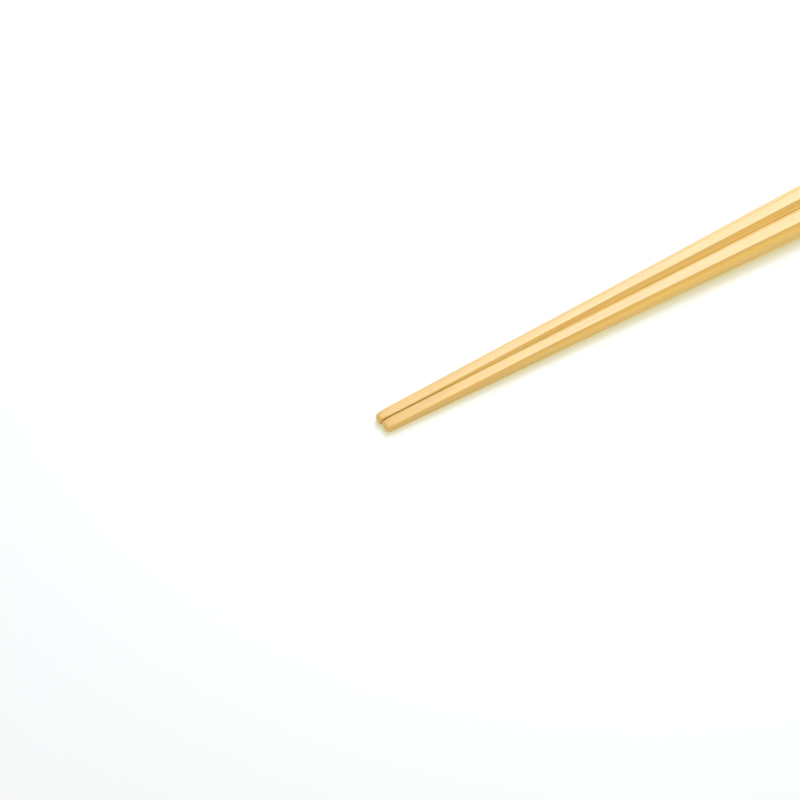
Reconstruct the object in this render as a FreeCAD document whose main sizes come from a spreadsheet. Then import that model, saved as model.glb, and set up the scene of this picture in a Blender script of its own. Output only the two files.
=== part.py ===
import FreeCAD, Part
import math
import os

import Sketcher

# A pair of bamboo chopsticks, lying side by side with their tips flush.
# Each stick is one solid, shaped as the real one is: sawn to a taper in plan, planed to the
# same taper in profile, then planed to a facet along each of its four long corners. The facets
# run out to almost nothing at the tip, whose end is rounded over.
# A stick is drawn about its own centre line, from the tip along +X, and then laid on its
# underside with its inner face along the seam. The head ends point along +X.

# Driving dimensions: lengths in millimetres, the facets' lean in degrees from the top face.
SIZES = (
    ("stick_length", 210.0),
    ("tip_side", 2.5),
    ("head_side", 8.0),
    ("mid_station", 59.0),
    ("facet_at_tip", 0.05),
    ("facet_at_mid", 1.02),
    ("facet_at_head", 2.08),
    ("facet_lean", 36.0),
    ("tip_radius", 1.0),
    ("head_ease", 0.4),
    ("seam_gap", 0.1),
)
SIZE = dict(SIZES)

# Half the angle between two opposite side faces.
TAPER = "atan((Sizes.head_side - Sizes.tip_side) / (2 * Sizes.stick_length))"
# From the seam, or the surface below, to the centre of the tip.
TIP_REACH = f"Sizes.tip_side / 2 * cos({TAPER})"
# How far a facet drops for each millimetre that it comes in across the stick.
LEAN = "tan(Sizes.facet_lean * 1 deg)"

# The stations where the facets are set out: the distance from the tip, the square's side
# there, and how far a facet comes in from each corner.
MID_SIDE = (
    "(Sizes.tip_side + (Sizes.head_side - Sizes.tip_side)"
    " * Sizes.mid_station / Sizes.stick_length)"
)
AT_TIP = ("0", "Sizes.tip_side", "Sizes.facet_at_tip")
AT_MID = ("Sizes.mid_station", MID_SIDE, "Sizes.facet_at_mid")
AT_HEAD = ("Sizes.stick_length", "Sizes.head_side", "Sizes.facet_at_head")

# The numbers that a sketch gives to the ends of a line, and to its own axes.
PLACES = ("whole", "start", "end", "y axis", "x axis")
START = PLACES.index("start")
END = PLACES.index("end")
X_AXIS = PLACES.index("x axis") - len(PLACES)
Y_AXIS = PLACES.index("y axis") - len(PLACES)
SAME_PLACE = 1e-6


def make_sheet(doc):
    """The driving dimensions, one row each."""
    sheet = doc.addObject("Spreadsheet::Sheet", "Sizes")
    for row, (alias, value) in enumerate(SIZES, start=1):
        sheet.set(f"A{row}", alias.replace("_", " "))
        sheet.set(f"B{row}", str(value))
        sheet.setAlias(f"B{row}", alias)
    doc.recompute()


def origin_plane(body, role):
    return next(f for f in body.Origin.OriginFeatures if f.Role == role)


def sketch_on(body, role, name):
    """An empty sketch on one of the body's own origin planes."""
    sketch = body.newObject("Sketcher::SketchObject", name)
    sketch.AttachmentSupport = [(origin_plane(body, role), "")]
    sketch.MapMode = "FlatFace"
    return sketch


def relate(sketch, kind, *places):
    """A relation between lines, ends and axes, with no size of its own."""
    sketch.addConstraint(Sketcher.Constraint(kind, *places))


def dimension(sketch, name, expression, kind, *places):
    """A named dimension that follows an expression. The last place is its first value."""
    index = sketch.addConstraint(Sketcher.Constraint(kind, *places))
    sketch.renameConstraint(index, name)
    sketch.setExpression(f"Constraints.{name}", expression)


def place_corner(sketch, name, corner, across, up):
    """Sets a line's start from the sketch's origin. across and up are (expression, value)."""
    dimension(sketch, f"{name}_across", across[0], "DistanceX", X_AXIS, START, corner, START, across[1])
    dimension(sketch, f"{name}_up", up[0], "DistanceY", X_AXIS, START, corner, START, up[1])


def draw_line(sketch, start, end):
    line = Part.LineSegment(FreeCAD.Vector(*start, 0), FreeCAD.Vector(*end, 0))
    return sketch.addGeometry(line, False)


def draw_loop(sketch, corners):
    """Straight lines round the corners, joined end to end. Returns their numbers."""
    following = corners[1:] + corners[:1]
    numbers = [draw_line(sketch, a, b) for a, b in zip(corners, following)]
    for number, after in zip(numbers, numbers[1:] + numbers[:1]):
        relate(sketch, "Coincident", number, END, after, START)
    return numbers


def draw_rounding(sketch, centre, radius, first_turn):
    """A quarter circle that starts at first_turn, in radians."""
    circle = Part.Circle()
    circle.Center = FreeCAD.Vector(*centre, 0)
    circle.Radius = radius
    quarter = Part.ArcOfCircle(circle, first_turn, first_turn + math.pi / 2)
    return sketch.addGeometry(quarter, False)


def draw_taper(sketch):
    """The stick's outline in plan or in profile: a straight taper with a rounded tip."""
    length = SIZE["stick_length"]
    head = SIZE["head_side"] / 2
    tip = SIZE["tip_side"] / 2
    radius = SIZE["tip_radius"]
    shoulder = tip - radius
    head_end = draw_line(sketch, (length, -head), (length, head))
    upper = draw_line(sketch, (length, head), (radius, tip))
    upper_round = draw_rounding(sketch, (radius, shoulder), radius, math.pi / 2)
    tip_end = draw_line(sketch, (0, shoulder), (0, -shoulder))
    lower_round = draw_rounding(sketch, (radius, -shoulder), radius, math.pi)
    lower = draw_line(sketch, (radius, -tip), (length, -head))
    # The tip's full width is set where the tapered side meets the plane of the tip's end.
    sharp_corner = sketch.addGeometry(Part.Point(FreeCAD.Vector(0, tip, 0)), True)

    relate(sketch, "Coincident", head_end, END, upper, START)
    relate(sketch, "Coincident", lower, END, head_end, START)
    chain = (upper, upper_round, tip_end, lower_round, lower)
    for before, after in zip(chain, chain[1:]):
        relate(sketch, "Tangent", before, END, after, START)
    relate(sketch, "Vertical", tip_end)
    relate(sketch, "PointOnObject", tip_end, START, Y_AXIS)
    relate(sketch, "Symmetric", upper, START, lower, END, X_AXIS)
    relate(sketch, "Symmetric", upper, END, lower, START, X_AXIS)
    relate(sketch, "PointOnObject", sharp_corner, START, Y_AXIS)
    relate(sketch, "PointOnObject", sharp_corner, START, upper)
    at_head = (X_AXIS, START, head_end, START, length)
    head_width = (head_end, START, head_end, END, 2 * head)
    half_tip = (X_AXIS, START, sharp_corner, START, tip)
    dimension(sketch, "length", "Sizes.stick_length", "DistanceX", *at_head)
    dimension(sketch, "head_width", "Sizes.head_side", "DistanceY", *head_width)
    dimension(sketch, "half_tip", "Sizes.tip_side / 2", "DistanceY", *half_tip)
    dimension(sketch, "rounding", "Sizes.tip_radius", "Radius", upper_round, radius)


def draw_surround(sketch):
    """A rectangle that clears the stick by at least half the head's side all round."""
    clear = SIZE["head_side"]
    right = SIZE["stick_length"] + clear
    corners = [(-clear, -clear), (right, -clear), (right, clear), (-clear, clear)]
    base, far_end, top, near_end = draw_loop(sketch, corners)
    for level in (base, top):
        relate(sketch, "Horizontal", level)
    for upright in (far_end, near_end):
        relate(sketch, "Vertical", upright)
    clearance = ("-Sizes.head_side", -clear)
    place_corner(sketch, "surround", base, clearance, clearance)
    span = "Sizes.stick_length + 2 * Sizes.head_side"
    dimension(sketch, "span", span, "DistanceX", base, START, base, END, right + clear)
    rise = (far_end, START, far_end, END, 2 * clear)
    dimension(sketch, "rise", "2 * Sizes.head_side", "DistanceY", *rise)


def saw_blank(body):
    """The tapered outline in plan, as thick as the head all along."""
    outline = sketch_on(body, "XY_Plane", "plan_outline")
    draw_taper(outline)
    blank = body.newObject("PartDesign::Pad", "sawn_blank")
    blank.Profile = outline
    blank.SideType = "Symmetric"
    blank.setExpression("Length", "Sizes.head_side")
    return blank


def plane_profile(body):
    """Takes away what lies above and below the tapered outline in profile."""
    waste = sketch_on(body, "XZ_Plane", "profile_waste")
    draw_taper(waste)
    draw_surround(waste)
    planed = body.newObject("PartDesign::Pocket", "planed_profile")
    planed.Profile = waste
    planed.SideType = "Symmetric"
    planed.Type = "ThroughAll"
    return planed


def plane_facet(body, name, near, far):
    """Planes the upper right corner to a facet between two stations.

    A triangle of waste, larger than the widest facet of the stretch, slides along the facet's
    middle line from the near station to the far one.
    """
    station, side, facet = near
    far_station, far_side, far_facet = far
    waste = sketch_on(body, "YZ_Plane", f"{name}_waste")
    waste.setExpression("AttachmentOffset.Base.z", station)
    outer = SIZE["head_side"]
    inner = outer / 2
    top, slope, right = draw_loop(waste, [(outer, outer), (inner, outer), (outer, inner)])
    relate(waste, "Horizontal", top)
    relate(waste, "Vertical", right)
    across = f"{side} / 2 + {far_facet}"
    up = f"{side} / 2 + {far_facet} * {LEAN}"
    place_corner(waste, "outer", top, (across, outer), (up, outer))
    run = f"({facet} + 2 * {far_facet})"
    dimension(waste, "run", run, "DistanceX", top, END, top, START, inner)
    drop = f"{run} * {LEAN}"
    dimension(waste, "drop", drop, "DistanceY", right, START, right, END, inner)

    cut = body.newObject("PartDesign::Pocket", name)
    cut.Profile = waste
    cut.UseCustomVector = True
    outward = f"(({far_side} - {far_facet}) - ({side} - {facet})) / 2"
    upward = f"(({far_side} - {far_facet} * {LEAN}) - ({side} - {facet} * {LEAN})) / 2"
    cut.setExpression("Direction.x", f"{far_station} - {station}")
    cut.setExpression("Direction.y", outward)
    cut.setExpression("Direction.z", upward)
    cut.AlongSketchNormal = True
    cut.setExpression("Length", f"{far_station} - {station}")
    return cut


def repeat_on_all_corners(body, cuts):
    """Mirrors the facet of one corner to the other three."""
    corners = body.newObject("PartDesign::MultiTransform", "four_corners")
    corners.Originals = cuts
    mirrors = []
    for name, role in (("top_to_bottom", "XY_Plane"), ("side_to_side", "XZ_Plane")):
        mirror = body.newObject("PartDesign::Mirrored", name)
        mirror.MirrorPlane = (origin_plane(body, role), [""])
        mirrors.append(mirror)
    corners.Transformations = mirrors
    body.Tip = corners
    return corners


def ease_head(body, stick):
    """A small chamfer all round the head's flat end."""
    rim = []
    for number, edge in enumerate(stick.Shape.Edges, start=1):
        if all(abs(v.X - SIZE["stick_length"]) < SAME_PLACE for v in edge.Vertexes):
            rim.append(f"Edge{number}")
    eased = body.newObject("PartDesign::Chamfer", "eased_head")
    eased.Base = (stick, rim)
    eased.setExpression("Size", "Sizes.head_ease")
    return eased


def lay_down(body, side):
    """Turns the stick by its taper, so that its underside is level and its inner face
    follows the seam. side is 1 for the stick on +Y of the seam and -1 for the other."""
    x_place = "-Sizes.stick_length / 2"
    y_place = f"{side} * (Sizes.seam_gap / 2 + {TIP_REACH})"
    place = f"vector({x_place}; {y_place}; {TIP_REACH})"
    turn = f"rotation({side} * {TAPER}; -{TAPER}; 0 deg)"
    body.setExpression("Placement", f"placement({place}; {turn})")


def keep_smaller(doc, feature, volume):
    """Recomputes the model, makes sure that a cut took something away, and returns what is left."""
    doc.recompute()
    if not 0 < feature.Shape.Volume < volume:
        raise RuntimeError(f"{feature.Label} removed nothing")
    return feature.Shape.Volume


def make_stick(doc, label, side):
    """One chopstick: the tapered blank, its planed profile, its facets and its eased head."""
    body = doc.addObject("PartDesign::Body", label)
    body.Label = label
    blank = saw_blank(body)
    doc.recompute()
    volume = keep_smaller(doc, plane_profile(body), blank.Shape.Volume)
    tip_facet = plane_facet(body, "tip_facet", AT_TIP, AT_MID)
    volume = keep_smaller(doc, tip_facet, volume)
    head_facet = plane_facet(body, "head_facet", AT_MID, AT_HEAD)
    volume = keep_smaller(doc, head_facet, volume)
    faceted = repeat_on_all_corners(body, [tip_facet, head_facet])
    volume = keep_smaller(doc, faceted, volume)
    keep_smaller(doc, ease_head(body, faceted), volume)
    lay_down(body, side)
    return body


def check(doc, bodies):
    """Stops before anything is written if a feature failed or a stick isn't one solid."""
    for item in doc.Objects:
        if {"Invalid", "Error"} & set(item.State):
            raise RuntimeError(f"{item.Label} failed: {item.State}")
    for body in bodies:
        shape = body.Shape
        if shape.isNull() or not shape.isValid() or len(shape.Solids) != 1:
            raise RuntimeError(f"{body.Label} is not one valid solid")


def main():
    doc = FreeCAD.newDocument("chopsticks")
    make_sheet(doc)
    bodies = [make_stick(doc, "right_chopstick", 1), make_stick(doc, "left_chopstick", -1)]
    doc.recompute()
    check(doc, bodies)
    os.makedirs("parts", exist_ok=True)
    for body in bodies:
        body.Shape.exportStep(f"parts/{body.Label}.step")
        print(body.Label, round(body.Shape.Volume, 1), "mm3")


main()
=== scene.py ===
"""A pair of planed bamboo chopsticks on a white table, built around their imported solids."""

import math
from typing import NamedTuple

import bpy
from mathutils import Matrix, Vector, noise


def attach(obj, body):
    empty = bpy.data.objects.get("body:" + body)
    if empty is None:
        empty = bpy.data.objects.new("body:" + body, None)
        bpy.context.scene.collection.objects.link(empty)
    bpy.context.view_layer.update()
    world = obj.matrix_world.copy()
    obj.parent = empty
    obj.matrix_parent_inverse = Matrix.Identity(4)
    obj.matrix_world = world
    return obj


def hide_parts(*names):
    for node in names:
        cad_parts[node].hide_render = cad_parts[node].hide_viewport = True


bl_info = {
    "name": "Bamboo chopsticks",
    "version": (1, 0, 0),
    "blender": (4, 5, 0),
    "location": "3D View > Sidebar > Chopsticks",
    "description": "Builds a pair of planed bamboo chopsticks lying on a white table",
    "category": "Add Mesh",
}

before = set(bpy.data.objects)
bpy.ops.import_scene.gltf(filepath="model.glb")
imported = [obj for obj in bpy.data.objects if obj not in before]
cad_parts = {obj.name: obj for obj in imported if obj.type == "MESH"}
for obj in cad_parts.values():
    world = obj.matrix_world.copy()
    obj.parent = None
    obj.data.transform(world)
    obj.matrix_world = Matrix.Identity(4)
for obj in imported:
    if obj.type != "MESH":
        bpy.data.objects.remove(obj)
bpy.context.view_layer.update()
MM = 0.001


class Stick(NamedTuple):
    """What sets one stick apart from the other. Lengths are in metres."""

    name: str
    node: str
    # 1 for the stick right of the seam, and -1 for the one left of it.
    side: int
    # Picks the stick's own piece of the wood's pattern.
    seed: float
    # How far it is turned about its own length in the culm.
    quarter_turns: int
    # How far the tip is worn back.
    worn_back: float
    # How much deeper its facets are planed.
    deeper: float
    # At the tip: how much the outer face stands out, the inner one is worn in, and the top is
    # worn down.
    wider: float
    worn_in: float
    worn_down: float
    # How much steeper the facets beside the seam grow towards the head, in degrees.
    steeper: float


STICKS = (
    Stick(
        name="right_stick",
        node="right_chopstick",
        side=1,
        seed=3.0,
        quarter_turns=1,
        worn_back=0.0,
        deeper=0.09 * MM,
        wider=0.0,
        worn_in=0.16 * MM,
        worn_down=0.0,
        steeper=0.0,
    ),
    Stick(
        name="left_stick",
        node="left_chopstick",
        side=-1,
        seed=11.0,
        quarter_turns=1,
        worn_back=0.3 * MM,
        deeper=-0.03 * MM,
        wider=0.16 * MM,
        worn_in=0.0,
        worn_down=0.32 * MM,
        steeper=6.0,
    ),
)
BODY = "root"

# Mesh attributes: where a point lay in the culm, how far across the culm's wall it was, and how
# far it is on a cut end. The wall runs from the near faces to the far faces, so its tone is
# partly painted light: deeper as painted shade on the near faces, paler as a painted sheen on the
# far.
WOOD = "culm"
WALL_AND_LIGHT_SIDE = "wall_depth_and_light_side"
ENDS = "cut_end"


# Sizes and colours


def length(name, description, default, digits=2):
    """A size in metres, from a default in millimetres."""
    return bpy.props.FloatProperty(
        name=name,
        description=description,
        default=default * MM,
        min=0.0,
        precision=digits + 3,
        subtype="DISTANCE",
        unit="LENGTH",
    )


def colour(name, description, default):
    """A colour, from its linear channels."""
    return bpy.props.FloatVectorProperty(
        name=name,
        description=description,
        default=default,
        size=3,
        min=0.0,
        max=1.0,
        subtype="COLOR",
    )


def share(name, description, default, highest=1.0):
    """A plain number from 0 up to the highest."""
    return bpy.props.FloatProperty(
        name=name, description=description, default=default, min=0.0, max=highest
    )


def angle(name, description, degrees):
    """An angle, from a default in degrees."""
    return bpy.props.FloatProperty(
        name=name,
        description=description,
        default=math.radians(degrees),
        subtype="ANGLE",
        unit="ROTATION",
    )


class StickSizes(bpy.types.PropertyGroup):
    """What a stick is planed to."""

    stick_length: length("Length", "From the tip to the head", 210.0)
    tip_side: length("Tip", "Side of the square section at the tip", 2.5)
    head_side: length("Head", "Side of the square section at the head", 8.0)
    mid_station: length("Middle station", "Where the facets change their rate", 59.0)
    mid_blend: length("Change of rate", "Length over which the facets' rate changes", 9.0)
    facet_at_tip: length("Facet at tip", "How far a facet comes in at the tip", 0.05)
    facet_at_mid: length("Facet at middle", "How far it comes in at the middle station", 1.02)
    facet_at_head: length("Facet at head", "How far it comes in at the head", 2.08)
    underside_deeper: length("Underside facets", "How much deeper the lower facets go", 0.2)
    tip_wear: length("Tip wear", "How far the outer long edges are worn in there", 0.28)
    tip_reach: length("Tip reach", "How far up the stick the tip's own shape goes", 45.0)
    facet_wander: length("Facet wander", "How far a facet's edge strays from straight", 0.035, 3)
    facet_lean: angle("Facet lean", "From the top face down to the facet", 36.0)
    steep_station: length("Steep station", "Where a facet that steepens is at its steepest", 102.0)
    tip_radius: length("Tip rounding", "Radius of the rounded tip", 1.0)
    seam_radius: length("Seam rounding", "Radius of the tip's corner beside the seam", 0.75)
    tip_softening: length("Tip softening", "Length over which the corners wear round", 2.6)
    head_ease: length("Head chamfer", "Chamfer round the cut end of the head", 0.4)
    arris: length("Arris", "Radius of the long edges", 0.07)
    tip_arris: length("Tip arris", "What wear adds to that radius at the tip", 0.3)
    full_wall: length("Full wall", "Half side from which a stick spans the culm's wall", 2.3)
    seam_gap: length("Seam", "Gap between the two sticks", 0.1)


class BambooLook(bpy.types.PropertyGroup):
    """The colours and the finish of planed bamboo."""

    straw: colour("Straw", "The wood in the middle of the culm's wall", (0.73, 0.475, 0.11))
    # The skin tone lands on the near faces as painted shade and the pith tone on the far faces as
    # a painted sheen from the back lamps, over the culm's own change of tone.
    skin_and_shade_side: colour("Skin side", "The wood towards the culm's skin", (0.87, 0.57, 0.10))
    pith_and_sheen_side: colour("Pith side", "The wood towards the culm's hollow", (0.79, 0.60, 0.27))
    pale: colour("Pale streak", "The lightest streaks", (0.78, 0.525, 0.130))
    honey: colour("Honey streak", "The darker streaks", (0.67, 0.402, 0.075))
    fibre: colour("Fibre", "The fibre bundles", (0.40, 0.20, 0.045))
    fibre_on_faces: share("Fibres on faces", "How far the bundles show along a stick", 0.16)
    fibre_on_ends: share("Fibres on ends", "How far the bundles show on cut ends", 0.55)
    roughness: share("Roughness", "Roughness of the planed faces", 0.26)
    end_roughness: share("End roughness", "Roughness of the cut ends", 0.62)
    nap: share("Nap", "How rough the wood is to light that it scatters", 0.9)
    glow: share("Glow", "Share of the light that scatters inside the wood", 0.1)
    glow_reach: length("Glow reach", "How far light travels inside the wood", 1.0)
    sheen: share("Sheen", "Soft sheen of the fibres at a flat angle", 0.35)
    sheen_roughness: share("Sheen roughness", "How wide the sheen spreads", 0.4)


class StageLook(bpy.types.PropertyGroup):
    """The table, the lamps and the camera."""

    # The bluish table and the warm lift add up to white where the table is lit, and turn its
    # shadows yellow: painted warm bounce light in the shadow.
    table: colour("Table", "Colour of the table", (0.50, 0.60, 0.84))
    table_bounce: colour("Table bounce", "Colour of what it throws back", (0.85, 0.85, 0.85))
    # Painted falloff of the light: the table's colour and lift dim away from a painted bright
    # spot.
    painted_falloff_level: colour("Table edge", "What it keeps of its level far out", (0.925, 0.91, 0.94))
    lift_and_painted_bounce: colour("Table lift", "What the camera sees added to it", (0.402, 0.313, 0.0))
    surround: share("Surround", "Level of the light from all round", 0.86)
    key: share("Back lamp", "Radiance of the softbox behind the sticks", 7.55, 50.0)
    halo: share("Back diffuser", "Radiance of the wider softbox round it", 2.1, 50.0)
    lens: bpy.props.FloatProperty(
        name="Lens", description="Focal length on a 36 mm sensor", default=157.5, min=10.0
    )
    camera_turn: angle("Camera turn", "Turn of the camera round the sticks", -30.90)
    camera_rise: angle("Camera rise", "Height of the camera above the table", 55.99)
    camera_reach: length("Camera distance", "From the aim point to the camera", 851.0)
    aim_along: bpy.props.FloatProperty(
        name="Aim along",
        description="Aim point along the sticks",
        default=-0.09678,
        unit="LENGTH",
    )
    aim_across: bpy.props.FloatProperty(
        name="Aim across",
        description="Aim point across the sticks",
        default=0.00423,
        unit="LENGTH",
    )


# The shape of a stick

# Steps round each softened corner of the section.
ARC_STEPS = 4
# The most of a flat that a softened corner takes up at either end of it.
CORNER_SHARE = 0.42
# Where the points lie across a flat, as a share of its width. The next corner starts at 1.
FLAT_SHARES = (0.0, 0.08, 0.3, 0.5, 0.7, 0.92)
# How square the worn section and the rounded end of the tip are: 2 would be round.
WORN_POWER = 3.2
END_POWER = 2.5
# How fast the wear of the corners and the tip's own shape fade out up the stick.
WORN_FADE = 1.5
TIP_FADE = 2
# How sharply a planed corner takes over from a worn one: higher is sharper.
WEAR_BLEND = 3
# Steps along the tip's rounding.
TIP_STEPS = 14
# Rings along the stick: the first gap between two, how the gaps grow, and the widest gap.
FIRST_GAP = 0.12 * MM
GAP_GROWTH = 1.16
WIDEST_GAP = 1.9 * MM
# How far before the head the last of them lies, in widths of its chamfer.
LAST_RING = 1.35
# The rings inside an end, as shares of the end's own ring.
END_SHARES = (0.2, 0.45, 0.7, 0.9)

# The wander of a facet's edge: swings for each metre, how far apart the facets' patterns are,
# and the length over which it comes in from the tip.
WANDER_PACE = 38.0
WANDER_STEP = 5.3
WANDER_FADE = 12.0 * MM


def smooth_corner(x, station, blend):
    """How far a bend at a station has turned at x: 0 well before it, then a slope of 1."""
    reach = (x - station) / blend
    if reach <= -1.0:
        return 0.0
    if reach >= 1.0:
        return x - station
    return blend * (reach + 1.0) ** 2 / 4.0


def facet_run(sizes, x):
    """How far a facet comes in from the corner at a distance from the tip."""
    first = (sizes.facet_at_mid - sizes.facet_at_tip) / sizes.mid_station
    rest = sizes.stick_length - sizes.mid_station
    second = (sizes.facet_at_head - sizes.facet_at_mid) / rest
    bend = smooth_corner(x, sizes.mid_station, sizes.mid_blend)
    return sizes.facet_at_tip + first * x + (second - first) * bend


def half_side(sizes, x):
    """Half the side of the square section at a distance from the tip."""
    slope = (sizes.head_side - sizes.tip_side) / sizes.stick_length
    return (sizes.tip_side + slope * x) / 2.0


def wander(sizes, x, seed, number):
    """A slow, small wander of one facet's edge, which is nothing at the tip."""
    place = Vector((x * WANDER_PACE, seed, number * WANDER_STEP))
    fade = min(1.0, x / WANDER_FADE)
    return sizes.facet_wander * fade * noise.noise(place)


def octagon(sizes, stick, x):
    """The eight corners of the section, counter-clockwise from the underside's right end."""
    half = half_side(sizes, x)
    along = min(1.0, x / sizes.mid_station)
    above = facet_run(sizes, x) + stick.deeper * along
    below = above + sizes.underside_deeper * along
    steeper = math.radians(stick.steeper) * min(1.0, x / sizes.steep_station)
    fall_outside = math.tan(sizes.facet_lean)
    fall_at_seam = math.tan(sizes.facet_lean + steeper)
    points = []
    # Each facet's side of the section, its height, and whether its end on the side comes first.
    for number, (right, up, side_first) in enumerate(
        ((1, -1, False), (1, 1, True), (-1, 1, False), (-1, -1, True))
    ):
        outside = right == stick.side
        run = above if up > 0 else below
        if outside:
            run = (run**WEAR_BLEND + sizes.tip_wear**WEAR_BLEND) ** (1.0 / WEAR_BLEND)
        run += wander(sizes, x, stick.seed, number)
        fall = fall_outside if outside else fall_at_seam
        side_end = Vector((right * half, up * (half - run * fall)))
        flat_end = Vector((right * (half - run), up * half))
        points += [side_end, flat_end] if side_first else [flat_end, side_end]
    return points


def soft_corner(start, corner, end, t):
    """A point on the curve from start to end that the corner pulls outwards."""
    return start * (1 - t) ** 2 + corner * (2 * t * (1 - t)) + end * t**2


def rounded_section(corners, radius):
    """Points round the section, with each corner turned to a small arc of that radius."""
    count = len(corners)
    arcs = []
    for i, corner in enumerate(corners):
        back = corners[i - 1] - corner
        ahead = corners[(i + 1) % count] - corner
        into, out = back.normalized(), ahead.normalized()
        turn = math.pi - into.angle(out)
        cut = min(radius * math.tan(turn / 2.0), CORNER_SHARE * min(back.length, ahead.length))
        start, end = corner + into * cut, corner + out * cut
        arcs.append([soft_corner(start, corner, end, k / ARC_STEPS) for k in range(ARC_STEPS + 1)])
    ring = []
    for i, arc in enumerate(arcs):
        next_start = arcs[(i + 1) % count][0]
        ring += arc[:-1]
        ring += [arc[-1].lerp(next_start, place) for place in FLAT_SHARES]
    return ring


def soften(point, half, amount):
    """Draws a point of the section in towards a rounder one of the same half side."""
    reach = (abs(point.x) ** WORN_POWER + abs(point.y) ** WORN_POWER) ** (1.0 / WORN_POWER)
    return point.lerp(point * (half / reach), amount)


def rounded_reach(radius, x):
    """How much of the half side the rounding of the tip leaves at a distance from its end."""
    if x >= radius:
        return 1.0
    return (1.0 - (1.0 - x / radius) ** END_POWER) ** (1.0 / END_POWER)


def ring_at(sizes, stick, x, inset=0.0):
    """One ring of points round the stick, in the stick's own frame."""
    half = half_side(sizes, x)
    at_tip = max(0.0, 1.0 - x / sizes.tip_reach) ** TIP_FADE
    section = rounded_section(octagon(sizes, stick, x), sizes.arris + sizes.tip_arris * at_tip)
    from_end = max(x - stick.worn_back, 0.0)
    worn = max(0.0, 1.0 - from_end / sizes.tip_softening) ** WORN_FADE
    around = rounded_reach(sizes.tip_radius, from_end)
    outer = around * (1.0 + stick.wider * at_tip / half)
    inner = rounded_reach(sizes.seam_radius, from_end) * (1.0 - stick.worn_in * at_tip / half)
    upper = around * (1.0 - stick.worn_down * at_tip / half)
    level = (half - inset) / half
    points = []
    for corner in section:
        soft = soften(corner, half, worn) * level
        across = inner if soft.x * stick.side < 0.0 else outer
        up = upper if soft.y > 0.0 else around
        points.append(Vector((x, soft.x * across, soft.y * up)))
    return points


def tip_stations(sizes):
    """Distances from the tip's end for the rings of the rounded end."""
    turns = [k / TIP_STEPS * math.pi / 2 for k in range(1, TIP_STEPS + 1)]
    return [sizes.tip_radius * (1.0 - math.cos(turn)) for turn in turns]


def body_stations(sizes, worn_back):
    """Distances from the tip for the rings along the stick, closer near the tip."""
    x = sizes.tip_radius + worn_back
    last = sizes.stick_length - sizes.head_ease * LAST_RING
    gap = FIRST_GAP
    stations = []
    while x + gap < last:
        x += gap
        stations.append(x)
        gap = min(gap * GAP_GROWTH, WIDEST_GAP)
    return stations + [last]


# The softened chamfer at the head: how far back each ring is, and how far it is drawn in, as
# shares of the chamfer.
HEAD_PROFILE = (
    (1.12, 0.0),
    (1.0, 0.03),
    (0.88, 0.12),
    (0.5, 0.5),
    (0.12, 0.88),
    (0.04, 1.0),
    (0.0, 1.12),
)


def head_rings(sizes, stick):
    """The rings of the softened chamfer at the head."""
    ease = sizes.head_ease
    rings = []
    for back, drawn in HEAD_PROFILE:
        place = sizes.stick_length - ease * back
        rings.append(ring_at(sizes, stick, place, inset=ease * drawn))
    return rings


def shrink_ring(ring, part, x):
    """The same ring drawn in to a part of its size, at a distance from the tip."""
    return [Vector((x, p.y * part, p.z * part)) for p in ring]


def stick_rings(sizes, stick):
    """All rings from the tip's end to the head's end."""
    worn_back = stick.worn_back
    rounding = tip_stations(sizes)
    stations = [worn_back + x for x in rounding] + body_stations(sizes, worn_back)
    along = [ring_at(sizes, stick, x) for x in stations]
    inner = [
        shrink_ring(along[0], part, worn_back + rounding[0] * part**END_POWER)
        for part in END_SHARES
    ]
    head = head_rings(sizes, stick)
    cut = [shrink_ring(head[-1], part, sizes.stick_length) for part in reversed(END_SHARES)]
    return inner + along + head + cut


def bridge(rings):
    """Vertices and faces for a closed skin over the rings."""
    count = len(rings[0])
    points = [p for ring in rings for p in ring]
    faces = []
    for r in range(len(rings) - 1):
        low, high = r * count, (r + 1) * count
        for i in range(count):
            j = (i + 1) % count
            faces.append((low + i, low + j, high + j, high + i))
    for ring, base, at_head in ((rings[0], 0, False), (rings[-1], len(points) - count, True)):
        middle = len(points)
        points.append(sum(ring, Vector()) / count)
        for i in range(count):
            j = (i + 1) % count
            faces.append((middle, base + i, base + j) if at_head else (middle, base + j, base + i))
    return points, faces


# How far apart in the culm the sticks' wood lies, in metres for each step of the seed.
CULM_STEP = (0.31, 0.017, 0.023)
# How deep the look of a cut end goes at the head, and how much of it the tip has.
CUT_DEPTH = 0.3 * MM
CUT_AT_TIP = 0.35


def write_wood(mesh, sizes, stick):
    """Stores where each point lay in the culm and its wall, which places the painted shade and
    sheen, and how far it is on a cut end.
    """
    turn = Matrix.Rotation(math.radians(90.0 * stick.quarter_turns), 4, "X")
    shift = Vector(CULM_STEP) * stick.seed
    places, wall_and_light_sides, cut = [], [], []
    for vertex in mesh.vertices:
        turned = turn @ vertex.co
        places += (turned + shift)[:]
        # From -1 on the near faces to 1 on the far faces: where the painted shade and sheen tones
        # go.
        wall_and_light_sides.append(turned.z / max(half_side(sizes, vertex.co.x), sizes.full_wall))
        from_head = sizes.stick_length - vertex.co.x
        at_head = 1.0 - min(1.0, from_head / CUT_DEPTH)
        at_tip = 1.0 - min(1.0, vertex.co.x / sizes.tip_radius)
        cut.append(max(at_head, CUT_AT_TIP * at_tip**2))
    mesh.attributes.new(WOOD, "FLOAT_VECTOR", "POINT").data.foreach_set("vector", places)
    mesh.attributes.new(WALL_AND_LIGHT_SIDE, "FLOAT", "POINT").data.foreach_set("value", wall_and_light_sides)
    mesh.attributes.new(ENDS, "FLOAT", "POINT").data.foreach_set("value", cut)


def taper(sizes):
    """Half the angle between two opposite side faces."""
    return math.atan((sizes.head_side - sizes.tip_side) / (2.0 * sizes.stick_length))


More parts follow.
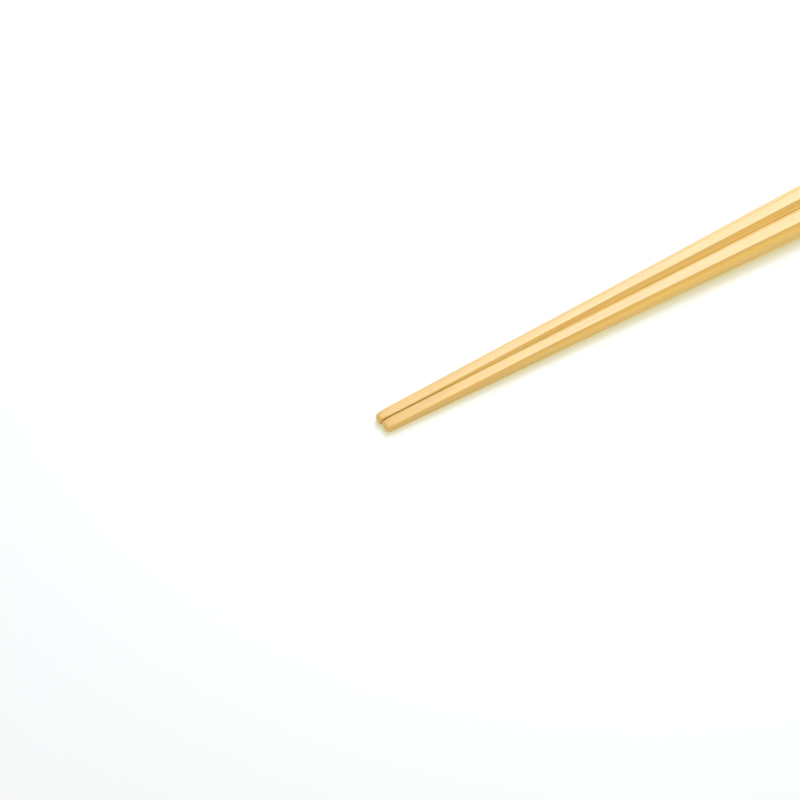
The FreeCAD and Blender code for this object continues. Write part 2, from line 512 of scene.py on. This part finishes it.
def stick_place(sizes, side):
    """The matrix that lays a stick on its underside, with its inner face along the seam."""
    lean = taper(sizes)
    reach = sizes.tip_side / 2.0 * math.cos(lean)
    place = Vector((-sizes.stick_length / 2.0, side * (sizes.seam_gap / 2.0 + reach), reach))
    turn = Matrix.Rotation(side * lean, 4, "Z") @ Matrix.Rotation(-lean, 4, "Y")
    return Matrix.Translation(place) @ turn


def make_stick(sizes, stick, material):
    """One stick as a smooth skin, lying in its place."""
    points, faces = bridge(stick_rings(sizes, stick))
    mesh = bpy.data.meshes.new(stick.name)
    mesh.from_pydata(points, [], faces)
    mesh.validate()
    mesh.polygons.foreach_set("use_smooth", [True] * len(mesh.polygons))
    write_wood(mesh, sizes, stick)
    mesh.transform(stick_place(sizes, stick.side))
    mesh.materials.append(material)
    made = bpy.data.objects.new(stick.name, mesh)
    bpy.context.scene.collection.objects.link(made)
    return made


# Bamboo


class Nodes:
    """Adds nodes to a material or a world, and links them as they are made."""

    # From one node to the next in the editor.
    SPACING = 190.0

    def __init__(self, tree):
        self.tree = tree
        tree.nodes.clear()
        self.column = 0

    def add(self, kind, links=None, values=None, **settings):
        """A node. links holds sockets for its inputs, and values holds plain numbers."""
        made = self.tree.nodes.new(kind)
        made.location = (self.column * self.SPACING, 0.0)
        self.column += 1
        for key, value in settings.items():
            setattr(made, key, value)
        for key, value in (values or {}).items():
            made.inputs[key].default_value = value
        for key, socket in (links or {}).items():
            self.tree.links.new(socket, made.inputs[key])
        return made

    def math(self, operation, first, second, clamp=False):
        """One step of arithmetic on two terms; each is a socket or a number."""
        made = self.add("ShaderNodeMath", operation=operation, use_clamp=clamp)
        for number, term in enumerate((first, second)):
            if isinstance(term, (int, float)):
                made.inputs[number].default_value = term
            else:
                self.tree.links.new(term, made.inputs[number])
        return made.outputs[0]

    def ramp(self, value, low, high):
        """value taken to 0 at low and 1 at high, with soft ends."""
        made = self.add(
            "ShaderNodeMapRange",
            {"Value": value},
            {"From Min": low, "From Max": high},
            interpolation_type="SMOOTHSTEP",
        )
        return made.outputs["Result"]

    def times(self, level, tone):
        """A level for each channel, times a colour."""
        made = self.add("ShaderNodeVectorMath", {0: level}, {1: tone[:]}, operation="MULTIPLY")
        return made.outputs["Vector"]

    def blend(self, amount, first, second):
        """A mix of two colours; each is a socket or a colour."""
        made = self.add("ShaderNodeMix", {0: amount}, data_type="RGBA")
        for key, tone in (("A", first), ("B", second)):
            socket = next(s for s in made.inputs if s.name == key and s.type == "RGBA")
            if isinstance(tone, bpy.types.NodeSocket):
                self.tree.links.new(tone, socket)
            else:
                socket.default_value = (*tone, 1.0)
        return next(s for s in made.outputs if s.type == "RGBA")


class Streaks(NamedTuple):
    """Streaks that follow the fibres: cells per metre along and across them, and detail."""

    along: float
    across: float
    detail: float


BROAD = Streaks(7.0, 420.0, 2.0)
FINE = Streaks(22.0, 2600.0, 3.0)
HAIR = Streaks(60.0, 9000.0, 2.0)
STREAK_ROUGHNESS = 0.55
# The fibre bundles: cells per metre along and across, how far apart from a plain lattice they
# are, and the distances from a bundle's middle at which it starts and is full.
BUNDLES_ALONG = 9.0
BUNDLES_ACROSS = 1500.0
BUNDLES_SCATTER = 0.85
BUNDLE_EDGE = (0.34, 0.16)

# Across the culm's wall, from -1 at the skin on the near faces to 1 at the hollow on the far
# faces: where each tone starts, and where it is full. The skin tone there is partly painted shade
# and the pith tone partly a painted sheen.
SKIN_AND_SHADE_SIDE = (-0.61, -0.98)
PITH_AND_SHEEN_SIDE = (0.35, 0.87)
# The parts of the streaks' pattern that turn pale and honey, and how far they turn.
PALE_RANGE = (0.38, 0.68)
PALE_STRENGTH = 0.65
HONEY_RANGE = (0.50, 0.72)
HONEY_STRENGTH = 0.55

# The grain as a height: what the fine lines, the hair lines and the bundles add or take.
FINE_HEIGHT = 0.6
HAIR_HEIGHT = 0.3
BUNDLE_HEIGHT = 0.25
GRAIN_STRENGTH = 0.35
GRAIN_HEIGHT = 0.03 * MM
# How much the fine lines vary the roughness.
ROUGHNESS_SPREAD = 0.18


def stretched(nodes, vector, along, across):
    """The culm's coordinates, scaled along the fibres and across them, per metre."""
    scale = (along, across, across)
    return nodes.add("ShaderNodeMapping", {"Vector": vector}, {"Scale": scale}).outputs["Vector"]


def streaks(nodes, culm, kind):
    """The level of one kind of streaks."""
    made = nodes.add(
        "ShaderNodeTexNoise",
        {"Vector": stretched(nodes, culm, kind.along, kind.across)},
        {"Scale": 1.0, "Detail": kind.detail, "Roughness": STREAK_ROUGHNESS},
    )
    return made.outputs["Fac"]


def bundles(nodes, culm):
    """Fibre bundles: dots on a cut end, and long fine dashes along a face."""
    made = nodes.add(
        "ShaderNodeTexVoronoi",
        {"Vector": stretched(nodes, culm, BUNDLES_ALONG, BUNDLES_ACROSS)},
        {"Scale": 1.0, "Randomness": BUNDLES_SCATTER},
    )
    return nodes.ramp(made.outputs["Distance"], *BUNDLE_EDGE)


def wood_tone(nodes, look, broad, fine, dots, ends):
    """The wood's colour: its tone across the culm's wall, with painted shade on the near faces and
    a painted sheen on the far faces, its streaks and its bundles.
    """
    # Near faces get the skin tone and far faces the pith tone: deeper as painted shade on the near
    # faces, paler as a painted sheen on the far faces, over the culm's own tone.
    depth = nodes.add("ShaderNodeAttribute", attribute_name=WALL_AND_LIGHT_SIDE).outputs["Fac"]
    to_skin_and_shade = nodes.ramp(depth, *SKIN_AND_SHADE_SIDE)
    to_pith_and_sheen = nodes.ramp(depth, *PITH_AND_SHEEN_SIDE)
    wall = nodes.blend(to_pith_and_sheen, nodes.blend(to_skin_and_shade, look.straw, look.skin_and_shade_side), look.pith_and_sheen_side)
    pale = nodes.math("MULTIPLY", nodes.ramp(broad, *PALE_RANGE), PALE_STRENGTH)
    honey = nodes.math("MULTIPLY", nodes.ramp(fine, *HONEY_RANGE), HONEY_STRENGTH)
    streaked = nodes.blend(honey, nodes.blend(pale, wall, look.pale), look.honey)
    on_faces = nodes.math("MULTIPLY", dots, look.fibre_on_faces)
    on_ends = nodes.math("MULTIPLY", nodes.math("MULTIPLY", dots, ends), look.fibre_on_ends)
    return nodes.blend(nodes.math("ADD", on_faces, on_ends, clamp=True), streaked, look.fibre)


def wood_grain(nodes, fine, hair, dots):
    """The fine relief of the grain, as a shading normal."""
    fine_part = nodes.math("MULTIPLY", fine, FINE_HEIGHT)
    hair_part = nodes.math("MULTIPLY", hair, HAIR_HEIGHT)
    lines = nodes.math("ADD", fine_part, hair_part)
    height = nodes.math("SUBTRACT", lines, nodes.math("MULTIPLY", dots, BUNDLE_HEIGHT))
    values = {"Strength": GRAIN_STRENGTH, "Distance": GRAIN_HEIGHT}
    return nodes.add("ShaderNodeBump", {"Height": height}, values).outputs["Normal"]


def wood_roughness(nodes, look, fine, ends):
    """Satin planed faces that vary with the fine lines, and dull cut ends."""
    spread = nodes.math("MULTIPLY", nodes.math("SUBTRACT", fine, 0.5), ROUGHNESS_SPREAD)
    dull = nodes.math("MULTIPLY", ends, look.end_roughness - look.roughness)
    return nodes.math("ADD", nodes.math("ADD", spread, look.roughness), dull, clamp=True)


def bamboo_material(look):
    """Planed bamboo: straw between pale and honey streaks, with fine fibre bundles."""
    material = bpy.data.materials.new("planed bamboo")
    material.use_nodes = True
    nodes = Nodes(material.node_tree)
    culm = nodes.add("ShaderNodeAttribute", attribute_name=WOOD).outputs["Vector"]
    ends = nodes.add("ShaderNodeAttribute", attribute_name=ENDS).outputs["Fac"]
    broad, fine, hair = [streaks(nodes, culm, kind) for kind in (BROAD, FINE, HAIR)]
    dots = bundles(nodes, culm)
    shader = nodes.add(
        "ShaderNodeBsdfPrincipled",
        {
            "Base Color": wood_tone(nodes, look, broad, fine, dots, ends),
            "Roughness": wood_roughness(nodes, look, fine, ends),
            "Normal": wood_grain(nodes, fine, hair, dots),
        },
        {
            "IOR": 1.5,
            "Diffuse Roughness": look.nap,
            "Sheen Weight": look.sheen,
            "Sheen Roughness": look.sheen_roughness,
            "Subsurface Weight": look.glow,
            "Subsurface Scale": look.glow_reach,
            "Subsurface Radius": (1.0, 0.6, 0.3),
        },
    )
    nodes.add("ShaderNodeOutputMaterial", {"Surface": shader.outputs[0]})
    return material


# The stage

WHITE = (1.0, 1.0, 1.0)
# Half the table's width, and the middle of the pool of light painted on the table.
TABLE_REACH = 30.0
PAINTED_LIGHT_MIDDLE = (-0.030, 0.022, 0.0)
# The distances from that spot between which the table dulls as a painted falloff of the light,
# and those between which it then turns plain white.
PAINTED_DIMMING = (0.1, 0.2)
WHITENING = (0.22, 0.4)


class Lamp(NamedTuple):
    """A softbox behind the sticks: which of the stage's levels it has, its size and its place."""

    name: str
    level: str
    size: tuple
    # Round the sticks and up from the table, in degrees.
    turn: float
    rise: float
    # From what it points at.
    reach: float


LAMPS = (
    Lamp("back_softbox", "key", (0.36, 0.42), 138.5, 55.5, 1.023),
    Lamp("back_diffuser", "halo", (0.5, 0.75), 136.0, 57.0, 1.033),
)
LAMP_TARGET = Vector((-0.04, 0.0, 0.0))

# The camera: its sensor's width in millimetres, and the nearest and furthest that it sees.
SENSOR = 36.0
NEAREST = 0.01
FURTHEST = 200.0


def seen_directly(nodes):
    """1 for a ray that comes straight from the camera, or by a reflection or through glass."""
    path = nodes.add("ShaderNodeLightPath")
    seen = nodes.math("MAXIMUM", path.outputs["Is Camera Ray"], path.outputs["Is Glossy Ray"])
    return nodes.math("MAXIMUM", seen, path.outputs["Is Transmission Ray"])


def table_material(look):
    """A table that looks white where nothing shades it, with painted warm bounce light in its
    shadows, and a little duller round that as a painted falloff of the light.
    """
    material = bpy.data.materials.new("white table")
    material.use_nodes = True
    nodes = Nodes(material.node_tree)
    seen = seen_directly(nodes)
    place = nodes.add("ShaderNodeTexCoord").outputs["Object"]
    away = nodes.add(
        "ShaderNodeVectorMath", {0: place}, {1: PAINTED_LIGHT_MIDDLE}, operation="DISTANCE"
    ).outputs["Value"]
    # Painted falloff: the table's colour and lift dim with distance from the painted pool of
    # light.
    level = nodes.blend(nodes.ramp(away, *PAINTED_DIMMING), WHITE, look.painted_falloff_level)
    # Bluish for the camera, so that with the warm lift its shadows turn yellow as painted bounce
    # light.
    tone = nodes.blend(seen, look.table_bounce, nodes.times(level, look.table))
    surface = nodes.add("ShaderNodeBsdfDiffuse", {"Color": tone})
    # The warm lift, dimmed by the painted falloff: painted bounce light in the table's shadows.
    near = nodes.times(level, look.lift_and_painted_bounce)
    lifted = nodes.blend(nodes.ramp(away, *WHITENING), near, WHITE)
    lift = nodes.add("ShaderNodeEmission", {"Strength": seen, "Color": lifted})
    both = nodes.add("ShaderNodeAddShader", {0: surface.outputs[0], 1: lift.outputs[0]})
    nodes.add("ShaderNodeOutputMaterial", {"Surface": both.outputs[0]})
    return material


def make_table(look):
    """A table top that runs out to the horizon."""
    corners = [
        (right * TABLE_REACH, back * TABLE_REACH, 0.0)
        for right, back in ((-1, -1), (1, -1), (1, 1), (-1, 1))
    ]
    mesh = bpy.data.meshes.new("table")
    mesh.from_pydata(corners, [], [(0, 1, 2, 3)])
    mesh.materials.append(table_material(look))
    table = bpy.data.objects.new("table", mesh)
    bpy.context.scene.collection.objects.link(table)


def make_surround(look):
    """Even light from all round, in front of a white background."""
    world = bpy.data.worlds.new("studio")
    world.use_nodes = True
    nodes = Nodes(world.node_tree)
    level = nodes.math("MAXIMUM", seen_directly(nodes), look.surround)
    sky = nodes.add("ShaderNodeBackground", {"Strength": level}, {"Color": (*WHITE, 1.0)})
    nodes.add("ShaderNodeOutputWorld", {"Surface": sky.outputs[0]})
    bpy.context.scene.world = world


def direction(turn, rise):
    """The unit vector from the sticks at that turn and height. A turn of 0 is from -Y."""
    flat = math.cos(rise)
    return Vector((math.sin(turn) * flat, -math.cos(turn) * flat, math.sin(rise)))


def aim(made, place, target):
    """Puts a lamp or a camera in its place, pointing at the target."""
    made.location = place
    made.rotation_euler = (target - place).to_track_quat("-Z", "Y").to_euler()


def make_lamp(lamp, radiance):
    """A softbox of that radiance."""
    light = bpy.data.lights.new(lamp.name, "AREA")
    light.shape = "RECTANGLE"
    light.size, light.size_y = lamp.size
    light.energy = radiance * math.pi * lamp.size[0] * lamp.size[1]
    made = bpy.data.objects.new(lamp.name, light)
    bpy.context.scene.collection.objects.link(made)
    away = direction(math.radians(lamp.turn), math.radians(lamp.rise)) * lamp.reach
    aim(made, LAMP_TARGET + away, LAMP_TARGET)


def make_camera(look):
    """The camera, pointing at a place on the table."""
    camera = bpy.data.objects.new("camera", bpy.data.cameras.new("camera"))
    bpy.context.scene.collection.objects.link(camera)
    camera.data.sensor_width = SENSOR
    camera.data.lens = look.lens
    camera.data.clip_start = NEAREST
    camera.data.clip_end = FURTHEST
    target = Vector((look.aim_along, look.aim_across, 0.0))
    away = direction(look.camera_turn, look.camera_rise) * look.camera_reach
    aim(camera, target + away, target)
    bpy.context.scene.camera = camera


# The add-on


class CHOPSTICKS_OT_make_sticks(bpy.types.Operator):
    """Makes both sticks and puts them in the places of their solids"""

    bl_idname = "chopsticks.make_sticks"
    bl_label = "Make the sticks"

    def execute(self, context):
        sizes = context.scene.stick_sizes
        material = bamboo_material(context.scene.bamboo_look)
        for stick in STICKS:
            made = make_stick(sizes, stick, material)
            if not made.data.polygons:
                raise RuntimeError(f"{stick.name} has no faces")
            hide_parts(stick.node)
            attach(made, BODY)
        return {"FINISHED"}


class CHOPSTICKS_OT_set_stage(bpy.types.Operator):
    """Sets up the table, the lamps and the camera"""

    bl_idname = "chopsticks.set_stage"
    bl_label = "Set the stage"

    def execute(self, context):
        look = context.scene.stage_look
        context.scene.view_settings.view_transform = "Standard"
        make_table(look)
        make_surround(look)
        for lamp in LAMPS:
            make_lamp(lamp, getattr(look, lamp.level))
        make_camera(look)
        if context.scene.camera is None:
            raise RuntimeError("the stage has no camera")
        return {"FINISHED"}


class CHOPSTICKS_PT_sidebar(bpy.types.Panel):
    """Lists the sizes, the colours and the buttons that build the scene"""

    bl_idname = "CHOPSTICKS_PT_sidebar"
    bl_label = "Chopsticks"
    bl_space_type = "VIEW_3D"
    bl_region_type = "UI"
    bl_category = "Chopsticks"

    def draw(self, context):
        layout = self.layout
        for title, group in (
            ("Sizes", context.scene.stick_sizes),
            ("Bamboo", context.scene.bamboo_look),
            ("Stage", context.scene.stage_look),
        ):
            box = layout.box()
            box.label(text=title)
            for name in group.__annotations__:
                box.prop(group, name)
        layout.operator(CHOPSTICKS_OT_make_sticks.bl_idname)
        layout.operator(CHOPSTICKS_OT_set_stage.bl_idname)


CLASSES = (
    StickSizes,
    BambooLook,
    StageLook,
    CHOPSTICKS_OT_make_sticks,
    CHOPSTICKS_OT_set_stage,
    CHOPSTICKS_PT_sidebar,
)
GROUPS = (("stick_sizes", StickSizes), ("bamboo_look", BambooLook), ("stage_look", StageLook))


def register():
    for made in CLASSES:
        bpy.utils.register_class(made)
    for name, group in GROUPS:
        setattr(bpy.types.Scene, name, bpy.props.PointerProperty(type=group))


def unregister():
    for name, _ in GROUPS:
        delattr(bpy.types.Scene, name)
    for made in reversed(CLASSES):
        bpy.utils.unregister_class(made)


def main():
    """Builds the scene."""
    register()
    bpy.ops.chopsticks.make_sticks()
    bpy.ops.chopsticks.set_stage()
    bpy.context.view_layer.update()


if __name__ == "__main__":
    main()
